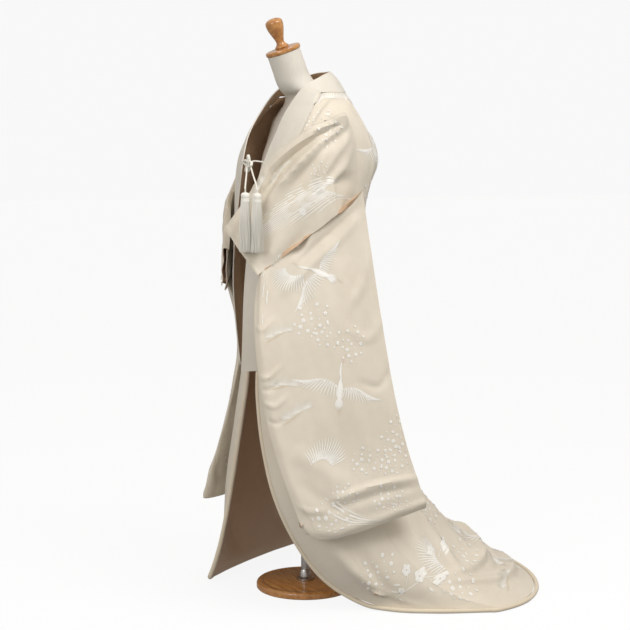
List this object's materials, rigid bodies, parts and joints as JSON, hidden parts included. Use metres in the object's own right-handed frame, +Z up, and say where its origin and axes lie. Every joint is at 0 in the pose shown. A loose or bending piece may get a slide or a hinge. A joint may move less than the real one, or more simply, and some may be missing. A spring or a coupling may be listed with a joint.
{
  "type": "uchikake wedding kimono on a limbless dress form",
  "caption": "Trailing Japanese wedding over-kimono with long hanging sleeves, open front, padded hem and front tie, worn by a limbless dress form on a pole and round base.",
  "frame": {"origin": "on the floor, at the centre of the round base under the pole", "axes": "+Z up; the robe's open front faces -Y, its train trails to +Y and the wearer's left side is +X"},
  "size_m": [1.0309, 1.0271, 1.7241],
  "materials": {
    "brocade": "cream silk brocade, woven sheen",
    "collar_brocade": "cream silk brocade, woven sheen",
    "padded_roll": "padded cream silk, satin",
    "lining": "plain peach silk, soft",
    "linen": "natural linen, matt",
    "turned_wood": "varnished, satin",
    "pole_metal": "satin",
    "tie_silk": "white silk cord, soft sheen"
  },
  "bodies": {
    "root": {"body_left": "brocade", "body_right": "brocade", "okumi_left": "brocade", "okumi_right": "brocade", "sleeve_left": "brocade", "sleeve_right": "brocade", "collar": "collar_brocade", "fuki_left": "padded_roll", "fuki_right": "padded_roll", "lining_left": "lining", "lining_right": "lining", "form_torso": "linen", "form_cap": "turned_wood", "form_knob": "turned_wood", "stand_base": "turned_wood", "stand_pole": "pole_metal", "tie_knot": "tie_silk", "tie_loop_left": "tie_silk", "tie_loop_right": "tie_silk", "tie_cord_left": "tie_silk", "tie_cord_right": "tie_silk", "tassel_left": "tie_silk", "tassel_right": "tie_silk"}
  },
  "joints": []
}
